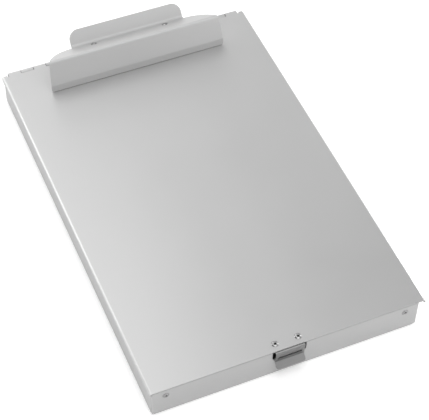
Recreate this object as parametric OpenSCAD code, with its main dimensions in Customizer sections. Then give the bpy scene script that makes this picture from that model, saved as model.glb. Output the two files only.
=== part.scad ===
// Storage clipboard box: a shallow folded tray under a hinged writing lid.
// The lid turns on a full-length knuckle hinge at the rear, a slotted spring plate latches it at the front,
// and a sprung clip on its rear end holds the sheets.
// X runs to the right, Y to the hinge, Z up. The origin is the middle of the tray's bottom face.

/* [Tray] */
// Width of the tray over its side walls
tray_width = 228.5; // [200:0.5:260]
// Length of the tray over its end walls
tray_length = 362; // [320:1:400]
// Height of the tray's walls from its bottom face
tray_height = 28.7; // [26:0.1:45]
// Thickness of the sheet that the tray and the lid are folded from
sheet = 0.9; // [0.7:0.05:1.1]
// Outer radius of the tray's bends
tray_bend = 1.7; // [1.5:0.1:2.2]
// Width of each corner tab, folded behind an end wall
tab_width = 20; // [16:1:30]
// Gap between a corner tab and the end wall in front of it
tab_gap = 0.05; // [0.03:0.01:0.1]
// Step from a side wall's face to the cut edge of an end wall
seam_step = 0.3; // [0.1:0.05:0.8]
// Clearance round the flaps at each corner of the floor
corner_relief = 0.4; // [0.2:0.1:1]
// Distance of the corner rivets from the tray's sides
corner_rivet_inset = 11.65; // [8:0.05:14]
// Distance of the corner rivets below the walls' tops
corner_rivet_drop = 6.8; // [6.8:0.1:12]

/* [Lid] */
// Width by which the lid is wider than the tray
lid_excess = 7.5; // [7:0.5:12]
// Offset of the lid to the right of the tray
lid_shift = 2.3; // [1:0.1:2.4]
// Gap between the tray's wall tops and the lid
lid_gap = 0.4; // [0.3:0.05:0.8]
// Depth of the lid's side flanges
flange_depth = 4.2; // [3:0.1:8]
// Outer radius of the lid's bends
lid_bend = 2; // [1.6:0.1:2.4]
// Radius of the flanges' lower corners
flange_corner = 1.2; // [0.5:0.1:2]

/* [Hinge] */
// Distance from each side of the lid to the row of knuckles
hinge_inset = 6.3; // [6.2:0.1:12]
// Number of knuckles, with a lid knuckle at both ends
knuckle_count = 19; // [11:2:25]
// Gap between neighbouring knuckles
knuckle_gap = 0.5; // [0.3:0.05:1]
// Diameter of the hinge pin
pin_diameter = 3.2; // [2.4:0.1:3.6]
// Radial clearance of the pin and of the pivot rod in their bores
pin_fit = 0.05; // [0.03:0.01:0.1]
// Angle through which each knuckle is curled round the pin
curl_angle = 305; // [280:1:308]
// Gap between a knuckle and the edge cut for it
knuckle_clearance = 0.5; // [0.4:0.05:0.9]
// Length by which the pin is short of each end of the hinge
pin_inset = 0.4; // [0.2:0.1:1]
// Length by which the lid's rear edge is cut back beyond each end of the hinge
hinge_notch = 1.5; // [1:0.1:2]

/* [Latch] */
// Width of the latch plate
latch_width = 25; // [22:0.5:26]
// Thickness of the latch plate
latch_sheet = 0.8; // [0.6:0.05:0.9]
// Place of the latch across the tray, to the right of its middle
latch_x = 1; // [0:0.1:1.2]
// Length of the latch's leaf under the lid
leaf_length = 14; // [12:0.5:20]
// Reach of the latch plate in front of the tray
latch_reach = 2; // [1.8:0.05:2.4]
// Outer radius of the bend at the top of the latch plate
latch_bend = 1.6; // [1.4:0.1:1.8]
// Distance of the crease above the finger lip below the walls' tops
crease_drop = 11.7; // [10.6:0.1:13]
// Slope of the latch plate towards the tray, down to its crease
latch_lean = 0.85; // [0.4:0.05:0.85]
// Length of the finger lip
lip_length = 6.6; // [5:0.1:9]
// Angle of the finger lip from upright
lip_flare = 40; // [20:1:60]
// Corner radius of the finger lip
lip_corner = 1.8; // [1:0.1:3]
// Distance of the slot's lower edge below the walls' tops
slot_drop = 8; // [8:0.1:9]
// Height of the slot
slot_height = 2.2; // [2:0.1:3.4]
// Distance between the latch's two rivets
latch_rivet_pitch = 19.7; // [18:0.1:20]
// Distance of the latch's rivets from the lid's front edge
latch_rivet_inset = 6.7; // [5:0.1:8]
// Width of the window in the front wall
window_width = 29; // [28:0.5:34]
// Depth of the window below the walls' tops
window_depth = 9.2; // [9:0.1:10.5]
// Corner radius of the window
window_corner = 1.5; // [1:0.1:2.5]
// Width of the strike tongue in the window
strike_width = 19.6; // [14:0.1:19.8]
// Distance of the strike tongue's tip below the walls' tops
strike_drop = 6.4; // [6.3:0.1:7.7]
// Reach of the strike tongue in front of the wall
strike_reach = 0.4; // [0.2:0.05:0.5]
// Clearance of the strike tongue in the slot
strike_clearance = 0.5; // [0.3:0.05:0.8]

/* [Clip] */
// Width of the clip plate
clip_width = 165; // [162:0.5:180]
// Thickness of the clip plate, its bracket and its base
clip_sheet = 1.2; // [1:0.1:1.4]
// Distance of the lip's edge in front of the hinge axis
clip_setback = 36.65; // [36:0.05:40]
// Gap between the lip's edge and the lid
jaw_gap = 0.4; // [0.3:0.05:0.8]
// Length of the lip
clip_lip_length = 7.2; // [6:0.1:9]
// Angle of the lip from level
clip_lip_angle = 90; // [85:1:95]
// Length of the face above the lip
clip_face_length = 23.85; // [23:0.05:25]
// Angle of the face from level
clip_face_angle = 69.7; // [68:0.1:71]
// Length of the ledge behind the crest
ledge_length = 21.7; // [21.5:0.1:24]
// Slope of the ledge down from the crest
ledge_slope = 26.8; // [25:0.1:28]
// Length of the thumb tab
tab_length = 14.7; // [13:0.1:20]
// Angle of the thumb tab from level
tab_angle = 53.3; // [45:0.1:60]
// Radius of the bend between lip and face
lip_bend = 6; // [3:0.5:9]
// Radius of the bend at the crest
crest_bend = 2.2; // [2:0.1:3]
// Radius of the bend between ledge and tab
valley_bend = 3; // [2:0.1:3.2]
// Radius of the clip plate's rear corners
clip_corner = 28; // [20:0.5:28]
// Radius of the lip's lower corners
clip_lip_corner = 2.4; // [1:0.1:3]
// Width of the thumb tab
tab_span = 107; // [100:1:110]
// Corner radius of the thumb tab
tab_corner = 9; // [5:0.5:11]
// Distance of the clip's two rivets from the sides of the base
clip_rivet_inset = 6.5; // [6.3:0.1:12]
// Distance of the clip's rivets from the crest
clip_rivet_run = 15.9; // [15:0.1:16]

/* [Clip pivot] */
// Distance of the pivot rod in front of the hinge axis
pivot_setback = 16.15; // [15.5:0.05:17]
// Height of the pivot rod above the lid
pivot_height = 11; // [10.5:0.1:11.5]
// Diameter of the pivot rod
rod_diameter = 3.2; // [2.8:0.1:3.6]
// Radius of the ears round the rod
ear_radius = 4; // [3.6:0.1:4.5]
// Distance over the base's two ears
base_span = 81.2; // [78:0.2:84]
// Length of the base along the lid
base_length = 19; // [17:0.5:20]
// Distance of the base's rivets from its sides
base_rivet_inset = 18.6; // [16:0.1:25]
// Distance between the base's rivets along the lid
base_rivet_row = 10; // [9:0.5:11]
// Outer radius of the bends at the feet of the ears
ear_bend = 2; // [1.8:0.1:2.4]
// Gap between a base ear and the bracket ear beside it
ear_gap = 0.6; // [0.4:0.1:1.2]
// Reach of the bracket in front of its rivets
bracket_front = 10.4; // [9.5:0.1:10.8]
// Reach of the bracket behind its rivets
bracket_rear = 3.1; // [2.8:0.1:3.1]
// Gap between a bracket ear and the retaining ring beside it
ring_gap = 0.4; // [0.3:0.1:0.8]
// Length of the pivot rod outside each retaining ring
rod_end = 0.4; // [0.2:0.1:1]
// Thickness of each retaining ring
ring_thickness = 1.4; // [1:0.1:2]
// Diameter of the retaining rings
ring_diameter = 6.4; // [5.6:0.1:7.6]

/* [Clip springs] */
// Diameter of the spring wire
wire = 1.6; // [1.2:0.1:1.7]
// Mean radius of the coil
coil_radius = 3.2; // [3:0.1:3.5]
// Whole turns of each coil
coil_turns = 5; // [3:1:5]
// Gap between neighbouring turns
turn_gap = 0.5; // [0.45:0.05:0.6]
// Clearance between the wire and what it bears on
wire_clearance = 0.3; // [0.2:0.05:0.5]
// Reach of the lower leg behind the rod
lower_reach = 9.5; // [8:0.1:10]
// Distance along the ledge from the rod forward to the upper leg's end
upper_setback = 1.8; // [1.5:0.1:2.2]

/* [Rivets] */
// Diameter of the rivet heads
head_diameter = 5.6; // [5:0.1:6]
// Height of the rivet heads
head_height = 1; // [0.8:0.05:1.2]
// Diameter of the rivet shanks
shank_diameter = 3.2; // [3:0.1:3.4]
// Radial clearance of the shanks in their holes
shank_fit = 0.05; // [0.03:0.01:0.1]
// Diameter of the blind ends
bulb_diameter = 4.8; // [4.4:0.1:5]
// Length of the blind ends
bulb_length = 2; // [1.6:0.1:2.2]
// Diameter of the broken-off stems
stem_diameter = 1.7; // [1.4:0.1:1.8]
// Radial clearance of the stems
stem_fit = 0.05; // [0.03:0.01:0.1]
// Depth of each stem's end below the top of the rivet's head
stem_depth = 0.25; // [0.1:0.05:0.4]

/* [Hidden] */
$fn = 64;
side_x = tray_width / 2;
end_y = tray_length / 2;
lid_width = tray_width + lid_excess;
lid_under = tray_height + lid_gap;
lid_top = lid_under + sheet;
// Corner of the tray: the tab's face, the middle of its bend, and the free edge of the end wall
tab_y = end_y - sheet - tab_gap;
corner_y = tab_y - tray_bend;
wall_x = side_x - tray_bend - corner_relief;
flap_z = tray_bend + corner_relief;
corner_rivet_x = side_x - corner_rivet_inset;
corner_rivet_z = tray_height - corner_rivet_drop;
// Hinge: both leaves are tangent to the barrel, the wall at its front and the lid at its top
bore_r = pin_diameter / 2 + pin_fit;
barrel_r = bore_r + sheet;
hinge_y = end_y - sheet + barrel_r;
hinge_z = lid_top - barrel_r;
hinge_length = lid_width - 2 * hinge_inset;
hinge_x = lid_shift - hinge_length / 2;
knuckle_pitch = hinge_length / knuckle_count;
knuckle_seat = 0.1;
knuckle_wall_z = hinge_z - barrel_r + knuckle_seat;
slot_y = end_y - sheet - knuckle_clearance;
// Latch: its front face, the crease and the place where the spring plate is split into leaf and catch
latch_y = -end_y - latch_reach;
split_drop = 0.25;
split_z = lid_under - latch_bend - split_drop;
split_gap = 0.1;
crease_z = tray_height - crease_drop;
crease_bend = 1;
crease_y = latch_y + latch_lean;
lip_y = crease_y - lip_length * sin(lip_flare);
lip_z = crease_z - lip_length * cos(lip_flare);
slot_width = strike_width + 2 * strike_clearance;
slot_z = tray_height - slot_drop;
window_z = tray_height - window_depth;
strike_z = tray_height - strike_drop;
strike_foot = 0.7;
strike_bend = 1;
latch_rivet_y = -end_y + latch_rivet_inset;
// Clip: the points of its cross-section, from the lip's edge over the crest to the top of the tab
clip_foot = [hinge_y - clip_setback, lid_top + jaw_gap];
clip_crease = clip_foot + clip_lip_length * ray(clip_lip_angle);
clip_crest = clip_crease + clip_face_length * ray(clip_face_angle);
clip_valley = clip_crest + ledge_length * ray(-ledge_slope);
clip_tip = clip_valley + tab_length * ray(tab_angle);
ledge_end = clip_valley - valley_bend * tan((tab_angle + ledge_slope) / 2) * ray(-ledge_slope);
clip_rivet_pitch = base_span - 2 * clip_rivet_inset;
pivot_y = hinge_y - pivot_setback;
pivot_z = lid_top + pivot_height;
rod_bore = rod_diameter / 2 + pin_fit;
base_top = lid_top + clip_sheet;
base_offset = 1;
base_y = pivot_y + base_offset;
base_rivet_pitch = base_span - 2 * base_rivet_inset;
ear_foot = 2.5;
bracket_x = base_span / 2 + ear_gap + clip_sheet;
ring_x = bracket_x + ring_gap;
rod_length = 2 * (ring_x + ring_thickness + rod_end);
// The pivot seen from the crest, along the ledge and square to it
pivot_run = (pivot_y - clip_crest[0]) * cos(ledge_slope) - (pivot_z - clip_crest[1]) * sin(ledge_slope);
pivot_drop = (clip_crest[0] - pivot_y) * sin(ledge_slope) + (clip_crest[1] - pivot_z) * cos(ledge_slope);
bracket_run = [clip_rivet_run - bracket_front, clip_rivet_run + bracket_rear];
seat_gap = 0.004;
// Spring: ring places along the wire, in the plane of the ears, and the places of its two legs
coil_pitch = wire + turn_gap;
rings_per_turn = 8;
lower_tip = [lower_reach, base_top - pivot_z + wire / 2 + wire_clearance];
upper_bear = clip_sheet * 2 + wire / 2 + wire_clearance;
upper_tip = clip_crest - [pivot_y, pivot_z] + (pivot_run - upper_setback) * ray(-ledge_slope)
    - upper_bear * ray(90 - ledge_slope);
spring_x = base_span / 2 - clip_sheet - wire_clearance - wire / 2;
// Rivet: the chamfers of the blind end, the countersink of the head, and the stem's ball and broken end
bulb_chamfer = 0.6;
bulb_shoulder = 0.5;
mouth_depth = 0.45;
ball_r = 1.3;
ball_length = 0.9;
ball_chamfer = 0.5;
stem_r = stem_diameter / 2;
stem_break = 0.15;
// Largest step of the arc at a bend
bend_step = 9;
// Grip of each group of rivets
corner_grip = 2 * sheet + tab_gap;
latch_grip = sheet + latch_sheet;
base_grip = sheet + clip_sheet;
clip_grip = 2 * clip_sheet;

// Folded sheet in cross-section. Each point is [across, up, bend radius] on the sheet's shown face,
// and the sheet lies to the right of the way along the points.
function heading(p, i) = atan2(p[i + 1][1] - p[i][1], p[i + 1][0] - p[i][0]);
function turned(a) = a > 180 ? a - 360 : a < -180 ? a + 360 : a;
function turn(p, i) = turned(heading(p, i) - heading(p, i - 1));
function trim(p, i) = p[i][2] * tan(abs(turn(p, i)) / 2);
function spot(p, i) = [p[i][0], p[i][1]];
function ray(a) = [cos(a), sin(a)];
function bend_points(p, i, inset) =
    let (
        side = turn(p, i) < 0 ? -1 : 1,
        back = heading(p, i - 1),
        centre = spot(p, i) - trim(p, i) * ray(back) + side * p[i][2] * ray(back + 90),
        steps = ceil(abs(turn(p, i)) / bend_step),
        radius = p[i][2] + side * inset
    )
    [for (k = [0 : steps]) centre + radius * ray(back - 90 * side + turn(p, i) * k / steps)];
function edge_of(p, inset) =
    let (last = len(p) - 1)
    concat(
        [spot(p, 0) + inset * ray(heading(p, 0) - 90)],
        [for (i = [1 : 1 : last - 1]) each bend_points(p, i, inset)],
        [spot(p, last) + inset * ray(heading(p, last - 1) - 90)]
    );

module folded(p, thickness) {
    outer = edge_of(p, 0);
    polygon(concat(edge_of(p, thickness), [for (i = [len(outer) - 1 : -1 : 0]) outer[i]]));
}

// Ring sector between two radii and two angles
module sector(inner, outer, from, to) {
    steps = ceil(abs(to - from) / 45);
    difference() {
        intersection() {
            circle(r = outer);
            polygon(concat([[0, 0]],
                [for (i = [0 : steps]) 2 * outer * ray(from + (to - from) * i / steps)]));
        }
        circle(r = inner);
    }
}

// Profiles in the X-Z plane swept along Y, and profiles in the Y-Z plane swept along X
module along_y(from, to) {
    translate([0, to, 0])
        rotate([90, 0, 0])
            linear_extrude(to - from)
                children();
}

module along_x(from, to) {
    translate([from, 0, 0])
        rotate([90, 0, 90])
            linear_extrude(to - from)
                children();
}

module on_lid() {
    translate([lid_shift, 0, 0])
        children();
}

module both_sides() {
    children();
    mirror([1, 0, 0])
        children();
}

// Blind rivet with its head upwards on the plane Z = 0, holding sheets of the given thickness below it
module blind_rivet(grip) {
    r = head_diameter / 2;
    dome = (r * r + head_height * head_height) / (2 * head_height);
    shank = shank_diameter / 2;
    bulb = bulb_diameter / 2;
    rotate_extrude()
        difference() {
            union() {
                intersection() {
                    translate([0, head_height - dome])
                        circle(r = dome);
                    square([r, head_height]);
                }
                translate([0, -grip - bulb_length])
                    square([shank, grip + bulb_length]);
                translate([0, -grip - bulb_length])
                    polygon([[0, 0], [bulb - bulb_chamfer, 0], [bulb, bulb_chamfer],
                        [bulb, bulb_length - bulb_shoulder], [bulb - bulb_shoulder, bulb_length],
                        [0, bulb_length]]);
            }
            translate([-1, -grip - bulb_length - 1])
                square([1 + stem_r + stem_fit, grip + bulb_length + head_height + 2]);
            translate([0, head_height - mouth_depth])
                polygon([[0, 0], [stem_r + stem_fit, 0], [stem_r + stem_fit + mouth_depth, mouth_depth],
                    [stem_r + stem_fit + mouth_depth, 1], [0, 1]]);
        }
}

// The stem left in such a rivet, with its swelling under the blind end
module rivet_stem(grip) {
    end = -grip - bulb_length;
    top = head_height - stem_depth;
    rotate_extrude()
        polygon([[0, end - ball_length], [ball_r - ball_chamfer, end - ball_length],
            [ball_r, end - ball_length + ball_chamfer], [ball_r, end], [stem_r, end],
            [stem_r, top - stem_break], [stem_r - stem_break, top], [0, top]]);
}

module rivet_hole(grip) {
    translate([0, 0, -grip - 1])
        cylinder(r = shank_diameter / 2 + shank_fit, h = grip + 2);
}

module at_end_rivets(end) {
    for (side = [-1, 1])
        translate([side * corner_rivet_x, end * end_y, corner_rivet_z])
            rotate([end * -90, 0, 0])
                children();
}

module at_latch_rivets() {
    for (side = [-1, 1])
        translate([latch_x + side * latch_rivet_pitch / 2, latch_rivet_y, lid_top])
            children();
}

module at_base_rivets() {
    on_lid()
        for (side = [-1, 1], row = [-1, 1])
            translate([side * base_rivet_pitch / 2, base_y + row * base_rivet_row / 2, base_top])
                children();
}

// Frame of the clip's ledge: X across, Y down the ledge from the crest, Z out of its face
module on_ledge() {
    translate([lid_shift, clip_crest[0], clip_crest[1]])
        rotate([-ledge_slope, 0, 0])
            children();
}

module at_clip_rivets() {
    on_ledge()
        for (side = [-1, 1])
            translate([side * clip_rivet_pitch / 2, clip_rivet_run, 0])
                children();
}

// One knuckle from X = from to X = to: the sheet curls round the pin from the given angle
module curl(from, to, start) {
    along_x(from, to)
        translate([hinge_y, hinge_z])
            sector(bore_r, barrel_r, start, start - curl_angle);
}

module tray_corner(top) {
    translate([0, 0, flap_z])
        linear_extrude(top - flap_z)
            folded([[side_x - tray_bend - tab_width, tab_y], [side_x, tab_y, tray_bend],
                [side_x, corner_y - 1]], sheet);
}

module strike() {
    along_x(latch_x - strike_width / 2, latch_x + strike_width / 2)
        folded([[-end_y, window_z - strike_bend], [-end_y, window_z + strike_foot, strike_bend],
            [-end_y - strike_reach, strike_z]], sheet);
}

module window() {
    along_y(-end_y - 1, -end_y + sheet + 1) {
        translate([latch_x - window_width / 2, window_z + window_corner])
            square([window_width, lid_top]);
        translate([latch_x - window_width / 2 + window_corner, window_z])
            square([window_width - 2 * window_corner, window_corner + 1]);
        for (side = [-1, 1])
            translate([latch_x + side * (window_width / 2 - window_corner), window_z + window_corner])
                circle(r = window_corner);
    }
}

module tray_shell() {
    color("#c2c4c5") {
        difference() {
            union() {
                along_y(-corner_y, corner_y)
                    folded([[side_x, tray_height], [side_x, 0, tray_bend], [-side_x, 0, tray_bend],
                        [-side_x, tray_height]], sheet);
                along_x(-wall_x, wall_x)
                    folded([[end_y, knuckle_wall_z], [end_y, 0, tray_bend], [-end_y, 0, tray_bend],
                        [-end_y, tray_height]], sheet);
                both_sides() {
                    translate([wall_x, -end_y, flap_z])
                        cube([side_x - seam_step - wall_x, sheet, tray_height - flap_z]);
                    translate([wall_x, end_y - sheet, flap_z])
                        cube([side_x - seam_step - wall_x, sheet, knuckle_wall_z - flap_z]);
                    tray_corner(knuckle_wall_z - knuckle_clearance);
                    mirror([0, 1, 0])
                        tray_corner(tray_height - knuckle_clearance);
                }
            }
            window();
            at_end_rivets(-1)
                rivet_hole(corner_grip);
            at_end_rivets(1)
                rivet_hole(corner_grip);
        }
        strike();
        for (i = [1 : 2 : knuckle_count - 2]) {
            from = hinge_x + i * knuckle_pitch + knuckle_gap / 2;
            to = from + knuckle_pitch - knuckle_gap;
            translate([from, end_y - sheet, knuckle_wall_z])
                cube([to - from, sheet, hinge_z - knuckle_wall_z]);
            curl(from, to, 180);
        }
    }
}

module front_corner_rivets() {
    color("#b4b6b8")
        at_end_rivets(-1)
            blind_rivet(corner_grip);
}

module front_rivet_stems() {
    color("#8c8e90")
        at_end_rivets(-1)
            rivet_stem(corner_grip);
}

module rear_corner_rivets() {
    color("#b4b6b8")
        at_end_rivets(1)
            blind_rivet(corner_grip);
}

module rear_rivet_stems() {
    color("#8c8e90")
        at_end_rivets(1)
            rivet_stem(corner_grip);
}

module hinge_pin() {
    color("#9a9c9e")
        translate([hinge_x + pin_inset, hinge_y, hinge_z])
            rotate([0, 90, 0])
                cylinder(d = pin_diameter, h = hinge_length - 2 * pin_inset);
}

module lid_shell() {
    color("#cfd1d2") {
        difference() {
            on_lid()
                along_y(-end_y, end_y)
                    folded([[-lid_width / 2, lid_top - flange_depth], [-lid_width / 2, lid_top, lid_bend],
                        [lid_width / 2, lid_top, lid_bend], [lid_width / 2, lid_top - flange_depth]], sheet);
            translate([hinge_x - hinge_notch, slot_y, lid_top - flange_depth - 1])
                cube([hinge_length + 2 * hinge_notch, end_y - slot_y + 1, flange_depth + 2]);
            flange_corners();
            at_latch_rivets()
                rivet_hole(latch_grip);
            translate([0, 0, -clip_sheet])
                at_base_rivets()
                    rivet_hole(sheet);
        }
        for (i = [0 : 2 : knuckle_count - 1]) {
            from = hinge_x + i * knuckle_pitch + (i == 0 ? 0 : knuckle_gap / 2);
            to = hinge_x + (i + 1) * knuckle_pitch - (i == knuckle_count - 1 ? 0 : knuckle_gap / 2);
            translate([from, slot_y, lid_under])
                cube([to - from, hinge_y - slot_y, sheet]);
            curl(from, to, 90);
        }
    }
}

// What is cut from the flanges' four lower corners to round them
module flange_corners() {
    bottom = lid_top - flange_depth;
    for (end = [-1, 1])
        along_x(lid_shift - lid_width / 2 - 1, lid_shift + lid_width / 2 + 1)
            difference() {
                translate([end < 0 ? -end_y - 1 : end_y - flange_corner, bottom - 1])
                    square([flange_corner + 1, flange_corner + 1]);
                translate([end * (end_y - flange_corner), bottom + flange_corner])
                    circle(r = flange_corner);
            }
}

module latch_leaf() {
    color("#b9bbbc")
        difference() {
            along_x(latch_x - latch_width / 2, latch_x + latch_width / 2)
                folded([[latch_y, split_z + split_gap], [latch_y, lid_under, latch_bend],
                    [-end_y + leaf_length, lid_under]], latch_sheet);
            at_latch_rivets()
                rivet_hole(latch_grip);
        }
}

module latch_catch() {
    color("#b9bbbc")
        difference() {
            along_x(latch_x - latch_width / 2, latch_x + latch_width / 2)
                folded([[lip_y, lip_z], [crease_y, crease_z, crease_bend], [latch_y, split_z]], latch_sheet);
            translate([latch_x - slot_width / 2, latch_y - 1, slot_z])
                cube([slot_width, latch_reach + 2, slot_height]);
            lip_corners();
        }
}

// What is cut from the finger lip's two lower corners to round them, square to the lip
module lip_corners() {
    translate([latch_x, lip_y, lip_z])
        rotate([-lip_flare, 0, 0])
            along_y(-latch_sheet - 1, latch_sheet + 1)
                mirror([0, 1, 0])
                    for (side = [-1, 1])
                        round_off([side * latch_width / 2, 0], lip_corner);
}

module latch_rivets() {
    color("#b4b6b8")
        at_latch_rivets()
            blind_rivet(latch_grip);
}

module latch_rivet_stems() {
    color("#8c8e90")
        at_latch_rivets()
            rivet_stem(latch_grip);
}

// Outline of an ear: a round end at the pivot and a foot whose two points have the pivot on their left
module ear_outline(pivot, foot_a, foot_b) {
    away = (foot_a + foot_b) / 2 - pivot;
    side = ear_radius * [-away[1], away[0]] / norm(away);
    translate(pivot)
        circle(r = ear_radius);
    polygon([foot_a, foot_b, pivot + side, pivot - side]);
}

module clip_base() {
    front = base_y - base_length / 2;
    rear = base_y + base_length / 2;
    color("#a9abad")
        on_lid()
            difference() {
                intersection() {
                    along_y(front, rear)
                        folded([[base_span / 2, pivot_z + ear_radius], [base_span / 2, lid_top, ear_bend],
                            [-base_span / 2, lid_top, ear_bend], [-base_span / 2, pivot_z + ear_radius]],
                            clip_sheet);
                    along_x(-base_span, base_span) {
                        translate([front, lid_top])
                            square([base_length, ear_bend]);
                        ear_outline([pivot_y, pivot_z], [front + ear_foot, lid_top + ear_bend],
                            [rear - ear_foot, lid_top + ear_bend]);
                    }
                }
                rod_hole();
                translate([-lid_shift, 0, 0])
                    at_base_rivets()
                        rivet_hole(clip_sheet);
            }
}

module rod_hole() {
    translate([-base_span, pivot_y, pivot_z])
        rotate([0, 90, 0])
            cylinder(r = rod_bore, h = 2 * base_span);
}

module base_rivets() {
    color("#b4b6b8")
        at_base_rivets()
            blind_rivet(base_grip);
}

module base_rivet_stems() {
    color("#8c8e90")
        at_base_rivets()
            rivet_stem(base_grip);
}

module pivot_rod() {
    color("#9a9c9e")
        translate([lid_shift - rod_length / 2, pivot_y, pivot_z])
            rotate([0, 90, 0])
                cylinder(d = rod_diameter, h = rod_length);
}

module rod_rings() {
    color("#6f7173")
        translate([lid_shift, pivot_y, pivot_z])
            both_sides()
                translate([ring_x, 0, 0])
                    rotate([0, 90, 0])
                        difference() {
                            cylinder(d = ring_diameter, h = ring_thickness);
                            translate([0, 0, -1])
                                cylinder(r = rod_bore, h = ring_thickness + 2);
                        }
}

// Torsion spring: the wire runs from the lower leg's tip round the rod and out to the upper leg's tip
function leg_angle(tip, side) = atan2(tip[1], tip[0]) + side * asin(coil_radius / norm(tip));
lower_angle = leg_angle(lower_tip, 1);
upper_angle = leg_angle(upper_tip, -1);
coil_start = lower_angle - 90;
coil_sweep = 360 * coil_turns + turned(coil_start - (upper_angle + 90 - 360));
coil_steps = round(rings_per_turn * coil_sweep / 360);
leg_steps = 3;
function coil_point(i) =
    let (a = coil_start - coil_sweep * i / coil_steps)
    [-coil_pitch * coil_sweep / 360 * i / coil_steps, coil_radius * cos(a), coil_radius * sin(a)];
function leg_point(x, root, tip, s) = [x, root[1] + (tip[0] - root[1]) * s, root[2] + (tip[1] - root[2]) * s];
wire_path = concat(
    [for (i = [0 : leg_steps - 1]) leg_point(0, coil_point(0), lower_tip, 1 - i / leg_steps)],
    [for (i = [0 : coil_steps]) coil_point(i)],
    [for (i = [1 : leg_steps]) leg_point(coil_point(coil_steps)[0], coil_point(coil_steps), upper_tip,
        i / leg_steps)]);
wire_sides = 6;
function way(i) =
    let (a = wire_path[max(i - 1, 0)], b = wire_path[min(i + 1, len(wire_path) - 1)])
    (b - a) / norm(b - a);
function across(i) = let (n = cross([1, 0, 0], way(i))) n / norm(n);
function ring(i) = [
    for (k = [0 : wire_sides - 1])
        wire_path[i] + wire / 2 * (cos(360 * k / wire_sides) * across(i)
            + sin(360 * k / wire_sides) * cross(way(i), across(i)))
];
least_gap = min([
    for (i = [0 : len(wire_path) - 1], j = [i + rings_per_turn / 2 : 1 : len(wire_path) - 1])
        norm(wire_path[i] - wire_path[j])
]) - wire;
echo(least_gap_of_spring = least_gap);

module torsion_spring() {
    last = len(wire_path) - 1;
    last_ring = last * wire_sides;
    polyhedron(
        points = [for (i = [0 : last]) each ring(i)],
        faces = concat(
            [for (k = [1 : wire_sides - 2]) [0, k, k + 1]],
            [for (k = [1 : wire_sides - 2]) [last_ring, last_ring + k + 1, last_ring + k]],
            [for (i = [0 : last - 1], k = [0 : wire_sides - 1])
                let (n = (k + 1) % wire_sides)
                [i * wire_sides + k, (i + 1) * wire_sides + k, (i + 1) * wire_sides + n]],
            [for (i = [0 : last - 1], k = [0 : wire_sides - 1])
                let (n = (k + 1) % wire_sides)
                [i * wire_sides + k, (i + 1) * wire_sides + n, i * wire_sides + n]]
        )
    );
}

module clip_spring_right() {
    color("#8f9193")
        translate([lid_shift + spring_x, pivot_y, pivot_z])
            torsion_spring();
}

module clip_spring_left() {
    color("#8f9193")
        translate([lid_shift - spring_x, pivot_y, pivot_z])
            mirror([1, 0, 0])
                torsion_spring();
}

// Plan of the clip plate: the ledge ends in two large corners where the valley's bend starts,
// and the narrower tab goes on from there
module clip_plan() {
    half = clip_width / 2;
    translate([0, ledge_end[0]]) {
        difference() {
            translate([-half, -clip_setback])
                square([clip_width, clip_setback]);
            for (side = [-1, 1])
                round_off([side * half, 0], clip_corner);
        }
        translate([-tab_span / 2, -1])
            square([tab_span, tab_length + 1]);
    }
}

// What is cut from a square corner of an outline whose middle is at X = 0, to round it
module round_off(corner, r) {
    side = sign(corner[0]);
    translate(corner)
        difference() {
            translate([side > 0 ? -r : -1, -r])
                square([r + 1, r + 1]);
            translate([-side * r, -r])
                circle(r = r);
        }
}

module clip_plate() {
    color("#c6c8c9")
        difference() {
            on_lid()
                intersection() {
                    along_x(-clip_width / 2, clip_width / 2)
                        folded([clip_foot, [clip_crease[0], clip_crease[1], lip_bend],
                            [clip_crest[0], clip_crest[1], crest_bend],
                            [clip_valley[0], clip_valley[1], valley_bend], clip_tip], clip_sheet);
                    linear_extrude(clip_tip[1] + 1)
                        clip_plan();
                }
            on_lid() {
                translate([0, clip_tip[0], clip_tip[1]])
                    rotate([tab_angle - 90, 0, 0])
                        along_y(-clip_sheet - 1, clip_sheet + 1)
                            for (side = [-1, 1])
                                round_off([side * tab_span / 2, 0], tab_corner);
                translate([0, clip_foot[0], clip_foot[1]])
                    rotate([clip_lip_angle - 90, 0, 0])
                        along_y(-clip_sheet - 1, clip_sheet + 1)
                            mirror([0, 1, 0])
                                for (side = [-1, 1])
                                    round_off([side * clip_width / 2, 0], clip_lip_corner);
            }
            at_clip_rivets()
                rivet_hole(clip_grip);
        }
}

module clip_bracket() {
    depth = pivot_drop + ear_radius - clip_sheet;
    color("#a9abad")
        difference() {
            on_ledge()
                intersection() {
                    translate([0, 0, -clip_sheet - seat_gap])
                        along_y(bracket_run[0], pivot_run + ear_radius)
                            folded([[-bracket_x, -depth], [-bracket_x, 0, ear_bend], [bracket_x, 0, ear_bend],
                                [bracket_x, -depth]], clip_sheet);
                    along_x(-bracket_x, bracket_x) {
                        translate([bracket_run[0], -clip_sheet - ear_bend])
                            square([bracket_run[1] - bracket_run[0], ear_bend]);
                        ear_outline([pivot_run, -pivot_drop], [bracket_run[1], -clip_sheet - ear_bend],
                            [bracket_run[0], -clip_sheet - ear_bend]);
                    }
                }
            on_lid()
                rod_hole();
            at_clip_rivets()
                rivet_hole(clip_grip);
        }
}

module clip_rivets() {
    color("#b4b6b8")
        at_clip_rivets()
            blind_rivet(clip_grip);
}

module clip_rivet_stems() {
    color("#8c8e90")
        at_clip_rivets()
            rivet_stem(clip_grip);
}

tray_shell();
front_corner_rivets();
front_rivet_stems();
rear_corner_rivets();
rear_rivet_stems();
hinge_pin();
lid_shell();
latch_leaf();
latch_rivets();
latch_rivet_stems();
latch_catch();
clip_base();
base_rivets();
base_rivet_stems();
pivot_rod();
rod_rings();
clip_spring_left();
clip_spring_right();
clip_plate();
clip_bracket();
clip_rivets();
clip_rivet_stems();
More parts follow.
